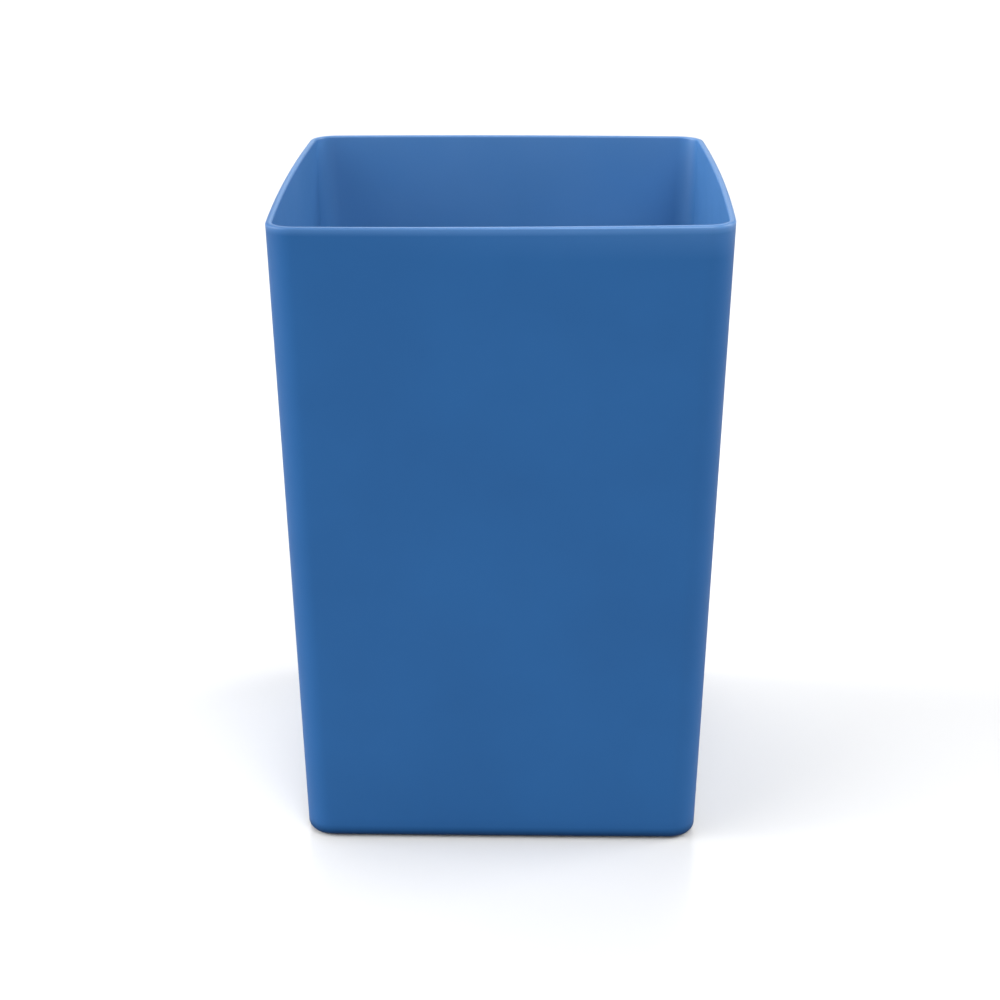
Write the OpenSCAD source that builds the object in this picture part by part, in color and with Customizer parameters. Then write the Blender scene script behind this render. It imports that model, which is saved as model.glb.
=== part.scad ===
// Square tapered wastebasket: one moulded shell standing on four bonded anti-slip pads.
// Millimetres, +Z up, origin on the floor under the middle of the basket, front face towards -Y.

/* [Shell] */
// Outer width and depth across the middle of the rim
top_w = 250; // [200:1:300]
// Outer width and depth that the walls would reach at floor level
base_w = 228; // [180:1:240]
// Height from the floor to the top of the rim
height = 368; // [250:1:450]
// Outward bow of each wall at the rim
top_crown = 3; // [0.5:0.1:6]
// Outward bow of each wall at the base
base_crown = 0.4; // [0.3:0.1:3]
// Outer radius of the upright corners at the rim
top_corner_r = 16; // [12:0.5:25]
// Outer radius of the upright corners at the base
base_corner_r = 15; // [12:0.5:25]
// Wall thickness below the lip
wall_t = 3; // [2:0.1:4]
// Floor thickness
floor_t = 3; // [2:0.1:5]

/* [Lip] */
// Wall thickness at the rim
lip_t = 3.6; // [2.6:0.1:4.5]
// Depth over which the wall thins from the lip to the wall
lip_h = 32; // [25:1:60]
// Share of the lip's thickness taken up by the rounding of its outer edge
lip_outer_share = 0.36; // [0.3:0.02:0.68]
// Share of the lip's thickness taken up by the rounding of its inner edge
lip_inner_share = 0.28; // [0.1:0.02:0.3]

/* [Base] */
// Rounding of the outer edge around the base
base_edge_r = 5; // [3:0.5:9]
// Fillet between the inner walls and the floor
floor_fillet_r = 9; // [4:0.5:15]
// Width of the flat bearing border around the underside
border_w = 23; // [20:1:35]
// Depth of the panel sunk into the middle of the underside
panel_depth = 2; // [1:0.1:3]
// Diameter of the dimple that hides the moulding gate
gate_d = 14; // [8:1:20]
// Depth of the gate dimple
gate_depth = 0.8; // [0.4:0.1:1.2]

/* [Pads] */
// Diameter of each anti-slip pad
pad_d = 12; // [8:0.5:16]
// Thickness of each pad, which is the gap under the shell
pad_t = 1; // [1:0.1:3]
// Rounding of each pad's lower edge
pad_edge_r = 0.6; // [0.2:0.1:0.9]
// Gap between each pad and the rounded edge of the base
pad_margin = 3; // [1:0.5:5]

/* [Hidden] */

shell_blue = "#2f6199";
pad_grey = "#3a3d41";
corner_steps = 10;      // segments around each upright corner
side_steps = 4;         // segments along each half of a wall
bend_steps = 5;         // segments in each rounding of the wall's profile
wall_steps = 5;         // rings up each face of the wall
least_corner_r = 3;     // corner radius of the rings nearest the middle of the floor
pad_fn = 64;            // smoothness of the pads and the gate dimple
gate_stub_d = 4;        // cut-off gate left standing in the dimple
gate_stub_h = 0.5;
overlap = 0.2;          // how far the gate stub is sunk into the shell
draft = atan((top_w - base_w) / 2 / height);
panel_z = pad_t + panel_depth;
floor_z = pad_t + floor_t;          // inside floor over the border
raised_z = panel_z + floor_t;       // inside floor over the sunk panel
panel_bend_r = 0.4 * panel_depth;
lip_outer_r = lip_outer_share * lip_t;
lip_inner_r = lip_inner_share * lip_t;
// A pad's distance from its corner's centre, along the diagonal.
pad_reach = base_corner_r - base_edge_r - pad_margin - pad_d / 2;
pad_offset = base_w / 2 - base_corner_r + pad_reach / sqrt(2);

// A value that changes evenly from the floor to the rim.
function up_the_wall(at_floor, at_rim, z) = at_floor + (at_rim - at_floor) * z / height;

// Half the outer width at a height, and half the inner width with the lip's extra thickness.
function outer_x(z) = up_the_wall(base_w / 2, top_w / 2, z);
function thickness(z) = wall_t + (lip_t - wall_t) * max(0, 1 - (height - z) / lip_h);
function inner_x(z) = outer_x(z) - thickness(z) / cos(draft);

// Radius of the long arc that bows a wall, and where that arc's centre lies.
function bow_r(z) =
    let (crown = up_the_wall(base_crown, top_crown, z), half = outer_x(z) - crown)
    (half * half + crown * crown) / (2 * crown);
function bow_centre(z) = outer_x(z) - bow_r(z);

// Corner radius of the ring that crosses the middle of a wall at x.
function corner_r(x, z) =
    max(least_corner_r, up_the_wall(base_corner_r, top_corner_r, z) - (outer_x(z) - x));

// Where a corner's centre lies on both axes, so that its arc meets the walls' long arcs smoothly.
function corner_centre(x, z) =
    let (c = bow_centre(z), reach = x - c - corner_r(x, z))
    (c + sqrt(2 * reach * reach - c * c)) / 2;

// A quarter of a ring, from the middle of the +X side to just before the middle of the +Y side.
function quarter_ring(x, z) =
    let (
        c = bow_centre(z),
        bow = x - c,
        a = corner_centre(x, z),
        r = corner_r(x, z),
        turn = atan2(a, a - c)
    )
    concat(
        [for (i = [0:side_steps - 1]) let (t = turn * i / side_steps) [c + bow * cos(t), bow * sin(t)]],
        [for (i = [0:corner_steps - 1])
            let (t = turn + (90 - 2 * turn) * i / corner_steps) [a + r * cos(t), a + r * sin(t)]],
        [for (i = [0:side_steps - 1])
            let (t = 90 - turn + turn * i / side_steps) [bow * cos(t), c + bow * sin(t)]]
    );

// A closed ring of points through the profile point [x, z].
function ring(x, z) =
    [for (quarter = [0:3]) for (p = quarter_ring(x, z))
        let (t = quarter * 90) [p[0] * cos(t) - p[1] * sin(t), p[0] * sin(t) + p[1] * cos(t), z]];

// Points along an arc of the profile.
function bend(centre, r, from, to) =
    [for (i = [0:bend_steps])
        let (t = from + (to - from) * i / bend_steps) centre + r * [cos(t), sin(t)]];

// A step down from one level to another, as two bends with a short upright between them.
function step_down(x, from_z, to_z) = concat(
    bend([x - panel_bend_r, from_z - panel_bend_r], panel_bend_r, 90, 0),
    bend([x + panel_bend_r, to_z + panel_bend_r], panel_bend_r, 180, 270)
);
function reversed(list) = [for (i = [len(list) - 1:-1:0]) list[i]];

// The shell's profile through the middle of a wall, from the underside over the rim to the inside floor.
panel_x = base_w / 2 - border_w;
under_side = step_down(panel_x, panel_z, pad_t);
edge_centre = let (z = pad_t + base_edge_r) [outer_x(z) - base_edge_r / cos(draft), z];
outside = concat(
    bend(edge_centre, base_edge_r, -90, -draft),
    [for (i = [1:wall_steps]) let (z = height * i / (wall_steps + 1)) [outer_x(z), z]]
);
lip_outer_centre = let (z = height - lip_outer_r) [outer_x(z) - lip_outer_r / cos(draft), z];
lip_inner_centre = let (z = height - lip_inner_r) [inner_x(z) + lip_inner_r, z];
lip = concat(
    bend(lip_outer_centre, lip_outer_r, -draft, 90),
    bend(lip_inner_centre, lip_inner_r, 90, 180)
);
fillet_centre = let (z = floor_z + floor_fillet_r) [inner_x(z) - floor_fillet_r / cos(draft), z];
lip_bottom = height - lip_h;
inside = concat(
    [for (i = [0:wall_steps - 1])
        let (z = lip_bottom - (lip_bottom - fillet_centre[1]) * i / wall_steps) [inner_x(z), z]],
    bend(fillet_centre, floor_fillet_r, -draft, -90)
);
// The inside floor rises over the sunk panel, so that the floor is equally thick all over.
raised_floor = reversed(step_down(panel_x + panel_bend_r, raised_z, floor_z));
profile = concat(under_side, outside, lip, inside, raised_floor);

module swept_shell() {
    points = [for (p = profile) each ring(p[0], p[1])];
    around = len(ring(outer_x(0), 0));
    last = len(profile) - 1;
    sides = [for (k = [0:last - 1]) for (i = [0:around - 1])
        let (j = (i + 1) % around)
        [k * around + i, (k + 1) * around + i, (k + 1) * around + j, k * around + j]];
    underside_cap = [for (i = [0:around - 1]) i];
    floor_cap = [for (i = [0:around - 1]) last * around + around - 1 - i];
    polyhedron(points = points, faces = concat([underside_cap], sides, [floor_cap]), convexity = 6);
}

module shell() {
    color(shell_blue) union() {
        difference() {
            swept_shell();
            translate([0, 0, panel_z - 1]) cylinder(d = gate_d, h = 1 + gate_depth, $fn = pad_fn);
        }
        translate([0, 0, panel_z + gate_depth - gate_stub_h])
            cylinder(d = gate_stub_d, h = gate_stub_h + overlap, $fn = pad_fn);
    }
}

// A round pad, bonded to the underside border and rounded where it meets the floor.
module pad(x, y) {
    color(pad_grey) translate([x, y, 0]) rotate_extrude($fn = pad_fn) union() {
        translate([0, pad_edge_r]) square([pad_d / 2, pad_t - pad_edge_r]);
        square([pad_d / 2 - pad_edge_r, pad_t]);
        translate([pad_d / 2 - pad_edge_r, pad_edge_r]) circle(r = pad_edge_r, $fn = pad_fn);
    }
}

shell();
pad(-pad_offset, -pad_offset);  // pad_front_left
pad(pad_offset, -pad_offset);  // pad_front_right
pad(-pad_offset, pad_offset);  // pad_back_left
pad(pad_offset, pad_offset);  // pad_back_right
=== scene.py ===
"""A square moulded wastebasket on a pale studio floor.

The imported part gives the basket's height, rim width and stand-off, and the places of its pads. The shell is
drawn again here with finer roundings, in the same frame and to the same sizes, and every piece is dressed.
"""

import logging
import math
from dataclasses import dataclass, field
from enum import Enum
from typing import Any

import bmesh
import bpy
from mathutils import Matrix, Vector

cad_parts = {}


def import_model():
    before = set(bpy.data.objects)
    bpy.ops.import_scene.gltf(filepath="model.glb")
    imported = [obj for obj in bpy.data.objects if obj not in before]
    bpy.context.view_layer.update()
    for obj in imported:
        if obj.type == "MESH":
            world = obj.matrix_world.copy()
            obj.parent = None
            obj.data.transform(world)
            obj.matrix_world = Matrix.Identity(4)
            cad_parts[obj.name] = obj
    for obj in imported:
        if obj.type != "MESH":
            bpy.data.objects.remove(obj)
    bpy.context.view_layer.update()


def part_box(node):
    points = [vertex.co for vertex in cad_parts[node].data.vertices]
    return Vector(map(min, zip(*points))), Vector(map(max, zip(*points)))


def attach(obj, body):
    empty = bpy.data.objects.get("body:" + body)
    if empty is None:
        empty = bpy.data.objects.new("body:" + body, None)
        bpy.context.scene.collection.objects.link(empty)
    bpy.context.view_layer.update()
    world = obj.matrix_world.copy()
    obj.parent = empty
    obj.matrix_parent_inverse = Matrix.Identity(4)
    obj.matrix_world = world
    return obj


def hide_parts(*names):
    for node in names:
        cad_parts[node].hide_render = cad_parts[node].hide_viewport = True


LOG = logging.getLogger("wastebasket")
MM = 0.001
# Mesh attributes: 1 on the grained cavity side of the moulding, and 0 on the core side and the top of the
# lip, where the blue is painted paler as painted light;
# and 1 round the foot of the outside, which is painted near black as painted shade.
GRAIN_AND_PAINTED_LIGHT = "grain_and_painted_light_share"
FOOT_PAINTED_SHADE = "foot_painted_shade_share"

Ring = list[Vector]
ProfilePoint = tuple[float, float]


def linear(hex_colour: str) -> tuple[float, float, float, float]:
    """Turns an sRGB hex colour into linear light.

    Args:
        hex_colour: Six hex digits, with or without a leading #.

    Returns:
        Linear red, green and blue, and an alpha of 1.
    """
    digits = hex_colour.lstrip("#")
    channels = [int(digits[i : i + 2], 16) / 255 for i in (0, 2, 4)]
    r, g, b = (c / 12.92 if c <= 0.04045 else ((c + 0.055) / 1.055) ** 2.4 for c in channels)
    return r, g, b, 1.0


def mix(a: float, b: float, t: float) -> float:
    """Returns the value a share t of the way from a to b."""
    return a + (b - a) * t


def add_node(
    tree: bpy.types.NodeTree, kind: str, links: dict[str, Any] | None = None, **settings: Any
) -> Any:
    """Adds a node with its settings and the links into it.

    Args:
        tree: The node tree that gets the node.
        kind: The node's type name.
        links: Input socket, by name or number, to an output socket that feeds it, or to a value that it is
            set to.
        **settings: Attributes set on the node itself, such as its operation.

    Returns:
        The new node.
    """
    node = tree.nodes.new(kind)
    for name, value in settings.items():
        setattr(node, name, value)
    for name, value in (links or {}).items():
        socket = node.inputs[int(name)] if name.isdigit() else node.inputs[name]
        if isinstance(value, bpy.types.NodeSocket):
            tree.links.new(value, socket)
        else:
            socket.default_value = value
    return node


class Side(Enum):
    """Which half of the mould a point was pressed against, as the value of the mesh attribute."""

    CAVITY = 1.0
    CORE = 0.0


class Corner(Enum):
    """The four corners of the base, each with its direction from the middle."""

    FRONT_LEFT = (-1, -1)
    FRONT_RIGHT = (1, -1)
    BACK_LEFT = (-1, 1)
    BACK_RIGHT = (1, 1)

    @property
    def node(self) -> str:
        """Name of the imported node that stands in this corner."""
        return f"pad_{self.name.lower()}"


@dataclass(frozen=True)
class MouldedPolypropylene:
    """Pigmented polypropylene, injection moulded against a spark-eroded cavity and a stoned core.

    The eroded steel leaves a fine, even matt grain outside, which drinks in the light and looks deep blue.
    The core is only stoned smooth, so the inside is glossier; it and the top of the lip are also painted a
    shade paler, as painted light.
    """

    cavity_pigment: tuple[str, str] = ("#194f84", "#174c80")  # outside: as mixed, and in the deeper clouds
    core_painted_light_pigment: tuple[str, str] = ("#3e74ad", "#3b71a9")  # inside and on the lip top: the same blues, painted paler as painted light
    painted_shade_pigment: str = "#04264a"  # painted shade round the foot and under the base
    ior: float = 1.49
    cavity_gloss: float = 0.19  # specular level of the matt grain, which scatters most of its own sheen
    core_gloss: float = 0.85
    cavity_roughness: float = 0.5
    core_roughness: float = 0.42
    roughness_drift: float = 0.03  # how far the roughness strays either way
    drift_mm: float = 40.0  # share of the gloss that is left where the foot is painted in shade
    painted_shade_gloss: float = 0.1  # share of the gloss that is left where the plastic is thickest
    grain_mm: float = 0.9  # the real grain is about 0.05 mm wide: drawn coarser, so that it shows at all
    grain_depth_mm: float = 0.05
    core_grain: float = 0.1  # depth of the grain inside, as a share of the grain outside
    sink_mm: float = 60.0  # slow waves left by uneven cooling
    sink_depth_mm: float = 0.4
    blotch_mm: float = 85.0  # clouds of slightly deeper pigment

    def material(self) -> bpy.types.Material:
        """Builds the shader.

        Returns:
            The finished material.
        """
        made = bpy.data.materials.new("moulded_polypropylene_spark_eroded")
        made.use_nodes = True
        tree = made.node_tree
        tree.nodes.clear()
        place = add_node(tree, "ShaderNodeTexCoord").outputs["Object"]
        grain_and_painted_light = add_node(tree, "ShaderNodeAttribute", attribute_name=GRAIN_AND_PAINTED_LIGHT).outputs["Fac"]

        # Pigment: two close blues in soft clouds on each face, as masterbatch never mixes perfectly.
        clouds = self._noise(tree, place, self.blotch_mm, 3.0)
        # The inside and the lip top take the paler blue, which is painted light.
        pigment = add_node(
            tree,
            "ShaderNodeMix",
            {
                "0": grain_and_painted_light,
                "6": self._pigment(tree, clouds, self.core_painted_light_pigment),
                "7": self._pigment(tree, clouds, self.cavity_pigment),
            },
            data_type="RGBA",
        )
        # Painted shade: the foot of the outside and the underside are mixed towards a near-black blue,
        # darkest at the bottom.
        thick = add_node(tree, "ShaderNodeAttribute", attribute_name=FOOT_PAINTED_SHADE).outputs["Fac"]
        painted_shade_colour = add_node(
            tree,
            "ShaderNodeMix",
            {"0": thick, "6": pigment.outputs["Result"], "7": linear(self.painted_shade_pigment)},
            data_type="RGBA",
        )

        # Gloss: the grain packs unevenly where the melt cooled slowly, so the sheen drifts a little.
        patches = self._noise(tree, place, self.drift_mm, 2.0)
        stray = (-self.roughness_drift, self.roughness_drift)
        drift = self._range(tree, patches, (0.3, 0.7), stray)
        even = self._range(tree, grain_and_painted_light, (0.0, 1.0), (self.core_roughness, self.cavity_roughness))
        roughness = add_node(tree, "ShaderNodeMath", {"0": even, "1": drift}, operation="ADD")
        sheen = self._range(tree, grain_and_painted_light, (0.0, 1.0), (self.core_gloss, self.cavity_gloss))
        # Most of the gloss is also taken off where the foot is painted in shade.
        kept = self._range(tree, thick, (0.0, 1.0), (1.0, self.painted_shade_gloss))
        gloss = add_node(tree, "ShaderNodeMath", {"0": sheen, "1": kept}, operation="MULTIPLY")

        # Relief: fine grain, much shallower on the core side, over slow sink waves.
        grain = self._noise(tree, place, self.grain_mm, 2.0)
        depth = self._range(tree, grain_and_painted_light, (0.0, 1.0), (self.core_grain, 1.0))
        weighted = add_node(tree, "ShaderNodeMath", {"0": grain, "1": depth}, operation="MULTIPLY")
        fine = add_node(
            tree,
            "ShaderNodeBump",
            {
                "Strength": 0.12,
                "Distance": self.grain_depth_mm * MM,
                "Height": weighted.outputs["Value"],
            },
        )
        relief = add_node(
            tree,
            "ShaderNodeBump",
            {
                "Strength": 0.25,
                "Distance": self.sink_depth_mm * MM,
                "Height": self._noise(tree, place, self.sink_mm, 1.0),
                "Normal": fine.outputs["Normal"],
            },
        )
        shader = add_node(
            tree,
            "ShaderNodeBsdfPrincipled",
            {
                "Base Color": painted_shade_colour.outputs["Result"],
                "Roughness": roughness.outputs["Value"],
                "Normal": relief.outputs["Normal"],
                "Metallic": 0.0,
                "IOR": self.ior,
                "Specular IOR Level": gloss.outputs["Value"],
            },
        )
        add_node(tree, "ShaderNodeOutputMaterial", {"Surface": shader.outputs["BSDF"]})
        return made

    @staticmethod
    def _noise(
        tree: bpy.types.NodeTree, place: bpy.types.NodeSocket, size_mm: float, detail: float
    ) -> bpy.types.NodeSocket:
        """Adds cloudy noise of a real size.

        Args:
            tree: The material's node tree.
            place: Where each point is, in metres.
            size_mm: How wide one cloud is.
            detail: How many finer octaves it has.

        Returns:
            The noise's value.
        """
        settings = {"Vector": place, "Scale": 1 / (size_mm * MM), "Detail": detail, "Roughness": 0.5}
        return add_node(tree, "ShaderNodeTexNoise", settings).outputs["Fac"]

    @staticmethod
    def _range(
        tree: bpy.types.NodeTree,
        value: bpy.types.NodeSocket,
        source: tuple[float, float],
        target: tuple[float, float],
    ) -> bpy.types.NodeSocket:
        """Stretches a value from one range onto another.

        Args:
            tree: The material's node tree.
            value: What is stretched.
            source: The range that it comes in.
            target: The range that it leaves in.

        Returns:
            The stretched value.
        """
        ends = {"From Min": source[0], "From Max": source[1], "To Min": target[0], "To Max": target[1]}
        return add_node(tree, "ShaderNodeMapRange", {"Value": value, **ends}).outputs["Result"]

    @staticmethod
    def _pigment(
        tree: bpy.types.NodeTree, share: bpy.types.NodeSocket, colours: tuple[str, str]
    ) -> bpy.types.NodeSocket:
        """Mixes the two blues of one face.

        Args:
            tree: The material's node tree.
            share: Where the clouds are.
            colours: The blue as mixed, and the deeper one.

        Returns:
            The mixed colour.
        """
        ramp = add_node(tree, "ShaderNodeValToRGB", {"Fac": share})
        for stop, position, colour in zip(ramp.color_ramp.elements, (0.35, 0.65), reversed(colours)):
            stop.position = position
            stop.color = linear(colour)
        return ramp.outputs["Color"]


@dataclass(frozen=True)
class PadElastomer:
    """Thermoplastic elastomer, die-cut and bonded: near black, dull and faintly pebbled, without a glint."""

    colour: str = "#3a3d41"
    colour_dusty: str = "#4a4d50"
    dust_mm: float = 4.0
    roughness: float = 0.82
    pebble_mm: float = 0.8
    pebble_depth_mm: float = 0.08

    def material(self) -> bpy.types.Material:
        """Builds the shader.

        Returns:
            The finished material.
        """
        made = bpy.data.materials.new("elastomer_die_cut")
        made.use_nodes = True
        tree = made.node_tree
        tree.nodes.clear()
        place = add_node(tree, "ShaderNodeTexCoord").outputs["Object"]
        cloud = {"Vector": place, "Scale": 1 / (self.dust_mm * MM), "Detail": 4.0}
        dust = add_node(tree, "ShaderNodeTexNoise", cloud)
        ramp = add_node(tree, "ShaderNodeValToRGB", {"Fac": dust.outputs["Fac"]})
        looks = ((0.4, self.colour), (0.75, self.colour_dusty))
        for stop, (position, colour) in zip(ramp.color_ramp.elements, looks):
            stop.position = position
            stop.color = linear(colour)
        cells = {"Vector": place, "Scale": 1 / (self.pebble_mm * MM)}
        pebble = add_node(tree, "ShaderNodeTexVoronoi", cells)
        relief = add_node(
            tree,
            "ShaderNodeBump",
            {
                "Strength": 0.4,
                "Distance": self.pebble_depth_mm * MM,
                "Height": pebble.outputs["Distance"],
            },
        )
        shader = add_node(
            tree,
            "ShaderNodeBsdfPrincipled",
            {
                "Base Color": ramp.outputs["Color"],
                "Normal": relief.outputs["Normal"],
                "Roughness": self.roughness,
                "IOR": 1.5,
            },
        )
        add_node(tree, "ShaderNodeOutputMaterial", {"Surface": shader.outputs["BSDF"]})
        return made


@dataclass(frozen=True)
class SatinLaminate:
    """White satin laminate, pressed smooth: an even white that weakly mirrors what stands on it."""

    colour: str = "#d9d9d9"
    roughness: float = 0.22

    def material(self) -> bpy.types.Material:
        """Builds the shader.

        Returns:
            The finished material.
        """
        made = bpy.data.materials.new("satin_laminate_pressed")
        made.use_nodes = True
        tree = made.node_tree
        tree.nodes.clear()
        shader = add_node(
            tree,
            "ShaderNodeBsdfPrincipled",
            {"Base Color": linear(self.colour), "Roughness": self.roughness, "IOR": 1.45},
        )
        add_node(tree, "ShaderNodeOutputMaterial", {"Surface": shader.outputs["BSDF"]})
        return made


@dataclass
class Outline:
    """The crowned, round-cornered square that every level of the shell follows.

    Each side is one long arc that bows outward, and each corner is an arc that meets two sides smoothly.
    """

    side_steps: int = 12  # segments along half a side
    corner_steps: int = 16  # segments round a corner

    def quarter(
        self, half: float, crown: float, corner_r: float, inset: float
    ) -> list[tuple[float, float]]:
        """Points from the middle of the +X side to just before the middle of the +Y side.

        Args:
            half: Half the outer width across the middle of the sides.
            crown: How far each side bows out from a straight line.
            corner_r: Radius of the corner on this ring.
            inset: How far this ring lies inside the outer one.

        Returns:
            The points, in metres.
        """
        # The long arc that bows the +X side, and where its centre lies on the X axis.
        flat_half = half - crown
        bow_outer = (flat_half**2 + crown**2) / (2 * crown)
        centre = half - bow_outer
        bow = bow_outer - inset
        # The corner's centre, on the diagonal, and the angle at which the side's arc hands over to it.
        reach = bow - corner_r
        along = (centre + math.sqrt(2 * reach**2 - centre**2)) / 2
        turn = math.atan2(along, along - centre)
        points = []
        for i in range(self.side_steps):
            t = turn * i / self.side_steps
            points.append((centre + bow * math.cos(t), bow * math.sin(t)))
        for i in range(self.corner_steps):
            t = mix(turn, math.pi / 2 - turn, i / self.corner_steps)
            points.append((along + corner_r * math.cos(t), along + corner_r * math.sin(t)))
        for i in range(self.side_steps):
            t = math.pi / 2 - turn + turn * i / self.side_steps
            points.append((bow * math.cos(t), centre + bow * math.sin(t)))
        return points

    @property
    def count(self) -> int:
        """How many points a whole ring has."""
        return 4 * (2 * self.side_steps + self.corner_steps)


@dataclass
class Shell:
    """The one-piece moulding: four bowed, tapered walls, a thickened lip, the floor and its underside.

    Sizes are in metres. The height, the stand-off and the rim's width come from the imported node.
    """

    height: float
    stand: float
    top_width: float
    base_width: float = 228 * MM
    top_crown: float = 3.0 * MM
    base_crown: float = 0.4 * MM
    top_corner_r: float = 16 * MM
    base_corner_r: float = 15 * MM
    wall: float = 3.0 * MM
    floor: float = 3.0 * MM
    lip: float = 3.6 * MM
    lip_depth: float = 32 * MM
    lip_outer_r: float = 0.36 * 3.6 * MM
    lip_inner_r: float = 0.28 * 3.6 * MM
    base_edge_r: float = 5 * MM
    fillet_r: float = 9 * MM
    border: float = 23 * MM
    least_corner_r: float = 3 * MM  # corner radius of the rings nearest the middle of the floor
    panel_depth: float = 2 * MM
    panel_bend_r: float = 0.8 * MM
    gate_r: float = 7 * MM
    gate_depth: float = 0.8 * MM
    gate_bend_r: float = 0.3 * MM
    stub_r: float = 2 * MM
    stub_height: float = 0.5 * MM
    stub_edge_r: float = 0.25 * MM
    rim_lean: float = 0.48 * MM  # how far the cooled rim rises towards +X
    rim_twist: float = 0.51 * MM  # how far its diagonally opposite corners rise and sink
    lip_grain_and_light_fade: float = 5.5 * MM  # how far down the polished lip, painted paler as painted light, blends into the grained wall
    painted_shade_top: float = 10.5 * MM  # height up to which the foot is painted in shade
    ring_gap: float = 12 * MM  # height between two rings of the plain wall
    outline: Outline = field(default_factory=Outline)
    finish: MouldedPolypropylene = field(default_factory=MouldedPolypropylene)

    @classmethod
    def from_frame(cls, node: str) -> "Shell":
        """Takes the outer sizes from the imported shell.

        Args:
            node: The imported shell's node name.

        Returns:
            A shell of the same height, stand-off and rim width.
        """
        low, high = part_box(node)
        shell = cls(height=high[2], stand=low[2], top_width=high[0] - low[0])
        # The widest point is where the lip's rounding starts, just below the rim.
        widest = shell.height - shell.lip_outer_r * (1 - math.sin(shell.draft))
        shell.top_width = shell.base_width + (shell.top_width - shell.base_width) * shell.height / widest
        return shell

    @property
    def draft(self) -> float:
        """The angle by which each wall leans out."""
        return math.atan((self.top_width - self.base_width) / 2 / self.height)

    def half(self, z: float) -> float:
        """Half the outer width at a height."""
        return mix(self.base_width, self.top_width, z / self.height) / 2

    def inner(self, z: float) -> float:
        """Half the inner width at a height, with the lip's extra thickness."""
        thick = mix(self.wall, self.lip, max(0.0, 1 - (self.height - z) / self.lip_depth))
        return self.half(z) - thick / math.cos(self.draft)

    @staticmethod
    def bend(centre: ProfilePoint, r: float, start: float, end: float, steps: int) -> list[ProfilePoint]:
        """Points of the profile along an arc.

        Args:
            centre: The arc's centre.
            r: Its radius.
            start: The angle it starts at, in degrees.
            end: The angle it ends at, in degrees.
            steps: How many segments it has.

        Returns:
            The points, from start to end.
        """
        angles = [math.radians(mix(start, end, i / steps)) for i in range(steps + 1)]
        return [(centre[0] + r * math.cos(t), centre[1] + r * math.sin(t)) for t in angles]

    def levels(self, start: float, end: float) -> list[float]:
        """Heights of the plain wall's rings, evenly spaced from a first one, up or down, to before an end.

        Args:
            start: The first height.
            end: The height that none of them reaches.

        Returns:
            The heights, from the start on.
        """
        gap = math.copysign(self.ring_gap, end - start)
        return [start + i * gap for i in range(math.ceil((end - start) / gap))]

    def step_down(self, x: float, high: float, low: float) -> list[ProfilePoint]:
        """The profile of a step from a high level inside x to a low level outside it.

        Args:
            x: Where the step's upright face is.
            high: The level on the inner side.
            low: The level on the outer side.

        Returns:
            The points, outward, with a supporting point a little way along each level.
        """
        r = self.panel_bend_r
        return [
            (x - 3 * r, high),
            *self.bend((x - r, high - r), r, 90, 0, 6),
            *self.bend((x + r, low + r), r, 180, 270, 6),
            (x + 3 * r, low),
        ]

    def outer_profile(self) -> list[ProfilePoint]:
        """The profile outside: from the sunk panel over the border and up the wall to the lip.

        Returns:
            The points, upward.
        """
        lean = math.degrees(self.draft)
        panel_x = self.base_width / 2 - self.border
        edge_z = self.stand + self.base_edge_r
        edge = (self.half(edge_z) - self.base_edge_r / math.cos(self.draft), edge_z)
        lip_z = self.height - self.lip_outer_r
        lip = (self.half(lip_z) - self.lip_outer_r / math.cos(self.draft), lip_z)
        # Rings lie close together next to each rounding, so that the wall's shading stays even.
        wall = [edge_z + 1.5 * MM, edge_z + 3 * MM, *self.levels(edge_z + 8 * MM, lip_z - 5 * MM)]
        return [
            *self.step_down(panel_x, self.stand + self.panel_depth, self.stand),
            (edge[0] - 2 * MM, self.stand),
            *self.bend(edge, self.base_edge_r, -90, -lean, 12),
            *[(self.half(z), z) for z in wall],
            *[(self.half(z), z) for z in (lip_z - 3.2 * MM, lip_z - 2 * MM, lip_z - 1 * MM)],
            *self.bend(lip, self.lip_outer_r, -lean, 90, 12),
        ]

    def inner_profile(self) -> list[ProfilePoint]:
        """The profile inside: over the lip, down the wall, round the fillet and up onto the raised floor.

        Returns:
            The points, downward and inward.
        """
        lean = math.degrees(self.draft)
        lip_z = self.height - self.lip_inner_r
        lip = (self.inner(lip_z) + self.lip_inner_r, lip_z)
        fillet_z = self.stand + self.floor + self.fillet_r
        fillet = (self.inner(fillet_z) - self.fillet_r / math.cos(self.draft), fillet_z)
        raised_x = self.base_width / 2 - self.border + self.panel_bend_r
        low = self.stand + self.floor
        return [
            *self.bend(lip, self.lip_inner_r, 90, 180, 8),
            (self.inner(lip_z - 1.5 * MM), lip_z - 1.5 * MM),
            *[(self.inner(z), z) for z in self.levels(lip_z - 4 * MM, fillet_z + 4 * MM)],
            (self.inner(fillet_z + 2 * MM), fillet_z + 2 * MM),
            *self.bend(fillet, self.fillet_r, -lean, -90, 12),
            *reversed(self.step_down(raised_x, low + self.panel_depth, low)),
        ]

    def ring(self, x: float, z: float) -> Ring:
        """A closed ring of points through a point of the profile.

        Args:
            x: The ring's distance from the middle, across the middle of a side.
            z: Its height.

        Returns:
            The points, anticlockwise seen from above.
        """
        share = z / self.height
        inset = self.half(z) - x
        corner_r = max(self.least_corner_r, mix(self.base_corner_r, self.top_corner_r, share) - inset)
        crown = mix(self.base_crown, self.top_crown, share)
        quarter = self.outline.quarter(self.half(z), crown, corner_r, inset)
        points = []
        for turn in range(4):
            c, s = math.cos(turn * math.pi / 2), math.sin(turn * math.pi / 2)
            points += [self.warped(px * c - py * s, px * s + py * c, z) for px, py in quarter]
        return points

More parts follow.
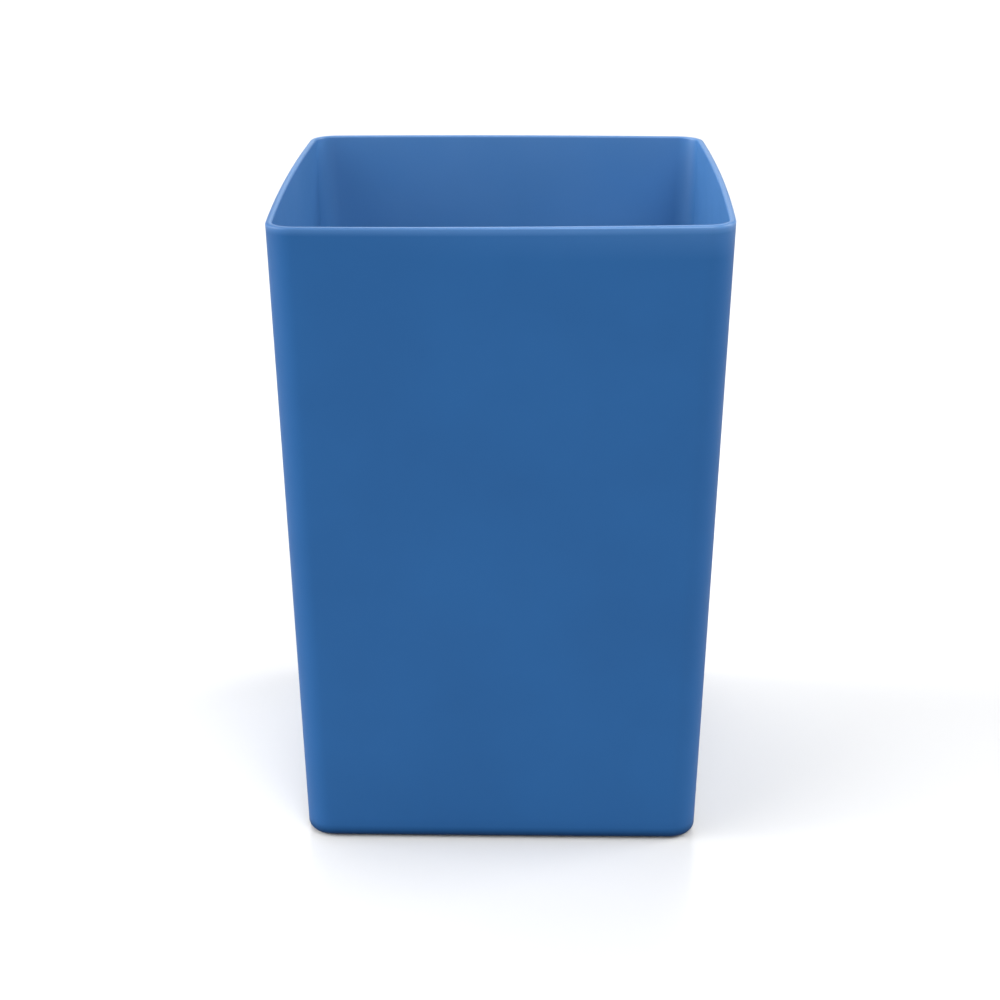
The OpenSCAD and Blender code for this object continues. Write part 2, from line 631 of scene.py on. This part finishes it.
    def warped(self, x: float, y: float, z: float) -> Vector:
        """Moves a point as the walls warp in cooling: not at all at the base, and most at the rim.

        Args:
            x: The point's X as drawn.
            y: Its Y as drawn.
            z: Its Z as drawn.

        Returns:
            The point on the cooled moulding.
        """
        u, v = 2 * x / self.top_width, 2 * y / self.top_width
        return Vector((x, y, z + (self.rim_lean * u - self.rim_twist * u * v) * (z / self.height) ** 2))

    @staticmethod
    def ease(start: float, end: float, value: float) -> float:
        """Goes smoothly from 0 at the start to 1 at the end."""
        t = min(1.0, max(0.0, (value - start) / (end - start)))
        return t * t * (3 - 2 * t)

    def grain_and_painted_light_share(self, z: float) -> float:
        """How much of the grained cavity finish the outside shows at a height; the rest has the core's gloss
        and its paler, painted-light blue.

        Args:
            z: The height.

        Returns:
            None on top of the lip, half of it at the foot of the lip's rounding, and all below the fade.
        """
        depth = self.height - z
        edge = 0.7 * self.lip_outer_r
        return 0.5 * self.ease(0.2 * edge, edge, depth) + 0.5 * self.ease(edge, self.lip_grain_and_light_fade, depth)

    def foot_painted_shade_share(self, z: float) -> float:
        """How much painted shade the outside gets at a height: all of it at the foot, fading out above."""
        return 1 - self.ease(self.stand + 0.5 * MM, self.painted_shade_top, z)

    def disc(self, r: float, z: float) -> Ring:
        """A round ring with as many points as the others, each in the same direction.

        Args:
            r: Its radius.
            z: Its height.

        Returns:
            The points.
        """
        like = self.ring(self.base_width / 2 - self.border, z)
        return [Vector((p.x, p.y, 0)).normalized() * r + Vector((0, 0, z)) for p in like]

    def underside_middle(self) -> list[Ring]:
        """The rings from the broken-off gate, out over its dimple, to the sunk panel.

        Returns:
            The rings, outward.
        """
        panel = self.stand + self.panel_depth
        deep = panel + self.gate_depth
        tip = deep - self.stub_height
        edge, bend = self.stub_edge_r, self.gate_bend_r
        points = [
            # The torn face of the stub, its edge and its foot.
            (0.9 * MM, tip + 0.15 * MM),
            (self.stub_r - edge, tip),
            (self.stub_r, tip + edge),
            (self.stub_r + 0.05 * MM, deep - edge),
            (self.stub_r + 0.3 * MM, deep),
            # The dimple's floor and side, and the panel round it.
            (self.gate_r - 3 * bend, deep),
            *self.bend((self.gate_r - bend, deep - bend), bend, 90, 0, 4),
            *self.bend((self.gate_r + bend, panel + bend), bend, 180, 270, 4),
            (self.gate_r + 2 * MM, panel),
            (30 * MM, panel),
            (60 * MM, panel),
        ]
        return [self.disc(r, z) for r, z in points]

    def floor_middle(self) -> list[Ring]:
        """The rings that close the raised floor inside.

        Returns:
            The rings, inward.
        """
        z = self.stand + self.floor + self.panel_depth
        return [self.disc(r * MM, z) for r in (60, 30, 12, 4)]

    def mesh(self) -> bpy.types.Mesh:
        """Sweeps the profile into the shell's mesh.

        Returns:
            A closed mesh, with the attributes that its finish is laid out by.
        """
        outside = self.underside_middle() + [self.ring(x, z) for x, z in self.outer_profile()]
        rings = outside + [self.ring(x, z) for x, z in self.inner_profile()] + self.floor_middle()
        built = bmesh.new()
        share = built.verts.layers.float.new(GRAIN_AND_PAINTED_LIGHT)
        thick = built.verts.layers.float.new(FOOT_PAINTED_SHADE)
        rows = [[built.verts.new(point) for point in ring] for ring in rings]
        for vertex in (v for row in rows[: len(outside)] for v in row):
            # The outside is grained, but painted paler as painted light up the lip; the inside keeps 0 and is
            # painted paler all over.
            vertex[share] = self.grain_and_painted_light_share(vertex.co.z)
            # The foot of the outside gets its painted shade.
            vertex[thick] = self.foot_painted_shade_share(vertex.co.z)
        count = self.outline.count
        for lower, upper in zip(rows, rows[1:]):
            for i in range(count):
                j = (i + 1) % count
                built.faces.new((lower[i], upper[i], upper[j], lower[j]))
        for row, side in ((rows[0], Side.CAVITY), (rows[-1], Side.CORE)):
            middle = built.verts.new(sum((v.co for v in row), Vector()) / count)
            middle[share] = middle[thick] = side.value
            for i in range(count):
                built.faces.new((row[i], row[(i + 1) % count], middle))
        bmesh.ops.recalc_face_normals(built, faces=built.faces)
        for face in built.faces:
            face.smooth = True
        mesh = bpy.data.meshes.new("shell_moulding")
        built.to_mesh(mesh)
        built.free()
        return mesh

    def build(self) -> bpy.types.Object:
        """Makes the shell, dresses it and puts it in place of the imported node.

        Returns:
            The shell's object.
        """
        shell = bpy.data.objects.new("shell_moulding", self.mesh())
        bpy.context.scene.collection.objects.link(shell)
        shell.data.materials.append(self.finish.material())
        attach(shell, "root")
        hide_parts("shell")
        return shell


@dataclass
class Pads:
    """Four round anti-slip pads, bonded to the border of the underside."""

    edge_r: float = 0.6 * MM
    steps: int = 48  # segments round each pad
    finish: PadElastomer = field(default_factory=PadElastomer)

    def profile(self, r: float, thick: float) -> list[ProfilePoint]:
        """Half the section of a pad: a flat face, a rounded lower edge and an all but square upper edge.

        Args:
            r: The pad's radius.
            thick: Its thickness.

        Returns:
            The points, from the middle of the face that meets the floor to the bonded face.
        """
        e = self.edge_r
        return [
            (0.25 * r, 0.0),
            (r - e - 0.5 * MM, 0.0),
            *Shell.bend((r - e, e), e, -90, 0, 6),
            (r, thick - 0.15 * MM),
            (r - 0.1 * MM, thick),
            (0.25 * r, thick),
        ]

    def build_one(self, corner: Corner, material: bpy.types.Material) -> bpy.types.Object:
        """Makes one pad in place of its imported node.

        Args:
            corner: Which corner it stands in.
            material: The pads' material.

        Returns:
            The pad's object.
        """
        low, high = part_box(corner.node)
        centre = Vector(((low[0] + high[0]) / 2, (low[1] + high[1]) / 2, low[2]))
        angles = [2 * math.pi * i / self.steps for i in range(self.steps)]
        built = bmesh.new()
        rows = []
        for x, z in self.profile((high[0] - low[0]) / 2, high[2] - low[2]):
            points = [centre + Vector((x * math.cos(t), x * math.sin(t), z)) for t in angles]
            rows.append([built.verts.new(point) for point in points])
        for lower, upper in zip(rows, rows[1:]):
            for i in range(self.steps):
                j = (i + 1) % self.steps
                built.faces.new((lower[i], lower[j], upper[j], upper[i]))
        built.faces.new(rows[0])
        built.faces.new(rows[-1])
        bmesh.ops.recalc_face_normals(built, faces=built.faces)
        for face in built.faces:
            face.smooth = len(face.verts) == 4
        mesh = bpy.data.meshes.new(f"{corner.node}_elastomer")
        built.to_mesh(mesh)
        built.free()
        pad = bpy.data.objects.new(f"{corner.node}_elastomer", mesh)
        bpy.context.scene.collection.objects.link(pad)
        pad.data.materials.append(material)
        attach(pad, "root")
        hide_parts(corner.node)
        return pad

    def build(self) -> list[bpy.types.Object]:
        """Makes all four pads.

        Returns:
            The pads' objects.
        """
        material = self.finish.material()
        return [self.build_one(corner, material) for corner in Corner]


@dataclass(frozen=True)
class SoftLamp:
    """A large diffused lamp far from the basket, so that its light falls the same everywhere."""

    name: str
    azimuth: float  # degrees round the basket: 0 in front of it, 90 to its right
    elevation: float  # degrees above the floor
    strength: float  # light on a surface that faces it, in watts per square metre
    spread: float = 36.0  # degrees that it fills as seen from the basket: the more, the softer its shadows
    distance: float = 3.0  # metres away that it hangs, which changes nothing about its light

    def build(self) -> bpy.types.Object:
        """Hangs the lamp.

        Returns:
            The lamp's object.
        """
        a, e = math.radians(self.azimuth), math.radians(self.elevation)
        away = Vector((math.sin(a) * math.cos(e), -math.cos(a) * math.cos(e), math.sin(e)))
        lamp = bpy.data.lights.new(self.name, "SUN")
        lamp.energy = self.strength
        lamp.angle = math.radians(self.spread)
        hung = bpy.data.objects.new(self.name, lamp)
        hung.location = away * self.distance
        hung.rotation_euler = away.to_track_quat("Z", "Y").to_euler()
        bpy.context.scene.collection.objects.link(hung)
        return hung


@dataclass
class Studio:
    """A wide pale floor under soft lamps in a white room, and the camera."""

    floor_half: float = 12.0  # metres from the basket to the floor's edge
    wall_light: float = 1.0  # radiance of the room's walls at the horizon
    ceiling_light: float = 0.2
    wall_top: float = 0.45  # sine of the height at which the walls have given way to the ceiling
    lamps: tuple[SoftLamp, ...] = (
        SoftLamp("side_left", -90, 18, 2.685),
        SoftLamp("side_right", 100, 28, 1.851),
        SoftLamp("front_middle", 20, 38, 1.146),
        SoftLamp("back_left", -135, 60, 0.75),
        SoftLamp("front_left", -60, 38, 1.014),
        SoftLamp("front_high", 20, 60, 1.011),
        SoftLamp("back", 180, 38, 0.516),
    )
    floor_finish: SatinLaminate = field(default_factory=SatinLaminate)
    lens: float = 69.893  # focal length in millimetres
    camera_at: tuple[float, float, float] = (0.01859, -1.10023, 0.60208)
    pitch: float = 21.469  # degrees down from level
    yaw: float = -1.09  # degrees to the right of the basket's own axis
    roll: float = -0.08  # degrees

    def build_floor(self) -> bpy.types.Object:
        """Lays the floor that the pads stand on.

        Returns:
            The floor's object.
        """
        built = bmesh.new()
        bmesh.ops.create_grid(built, x_segments=24, y_segments=24, size=self.floor_half)
        mesh = bpy.data.meshes.new("studio_floor")
        built.to_mesh(mesh)
        built.free()
        floor = bpy.data.objects.new("studio_floor", mesh)
        bpy.context.scene.collection.objects.link(floor)
        floor.data.materials.append(self.floor_finish.material())
        return floor

    def build_room(self) -> None:
        """Fills the room with white light: pale walls all round, under a dimmer ceiling."""
        world = bpy.data.worlds.new("white_room")
        world.use_nodes = True
        tree = world.node_tree
        tree.nodes.clear()
        place = add_node(tree, "ShaderNodeTexCoord").outputs["Generated"]
        height = add_node(tree, "ShaderNodeSeparateXYZ", {"Vector": place}).outputs["Z"]
        level = add_node(
            tree,
            "ShaderNodeMapRange",
            {
                "Value": height,
                "From Min": 0.0,
                "From Max": self.wall_top,
                "To Min": self.wall_light,
                "To Max": self.ceiling_light,
            },
            interpolation_type="SMOOTHSTEP",
        )
        light = add_node(
            tree,
            "ShaderNodeBackground",
            {"Color": linear("#ffffff"), "Strength": level.outputs["Result"]},
        )
        add_node(tree, "ShaderNodeOutputWorld", {"Surface": light.outputs["Background"]})
        bpy.context.scene.world = world

    def build_camera(self) -> bpy.types.Object:
        """Sets up the camera, a little above the rim and square to the front wall.

        Returns:
            The camera's object.
        """
        lens = bpy.data.cameras.new("camera")
        lens.lens = self.lens
        lens.sensor_width = 36.0
        lens.clip_end = 60.0
        camera = bpy.data.objects.new("camera", lens)
        turn = (
            Matrix.Rotation(math.radians(-self.yaw), 4, "Z")
            @ Matrix.Rotation(math.radians(90 - self.pitch), 4, "X")
            @ Matrix.Rotation(math.radians(self.roll), 4, "Z")
        )
        camera.matrix_world = Matrix.Translation(self.camera_at) @ turn
        bpy.context.scene.collection.objects.link(camera)
        bpy.context.scene.camera = camera
        return camera

    def build(self) -> None:
        """Sets up the whole studio."""
        self.build_floor()
        self.build_room()
        for lamp in self.lamps:
            lamp.build()
        self.build_camera()
        view = bpy.context.scene.view_settings
        view.view_transform = "Standard"
        view.look = "None"


def main() -> None:
    """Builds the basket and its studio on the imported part."""
    logging.basicConfig(level=logging.INFO, format="%(name)s: %(message)s")
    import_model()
    shell = Shell.from_frame("shell")
    LOG.info("shell: %d vertices", len(shell.build().data.vertices))
    for pad in Pads().build():
        LOG.info("%s: %d vertices", pad.name, len(pad.data.vertices))
    Studio().build()


if __name__ == "__main__":
    main()
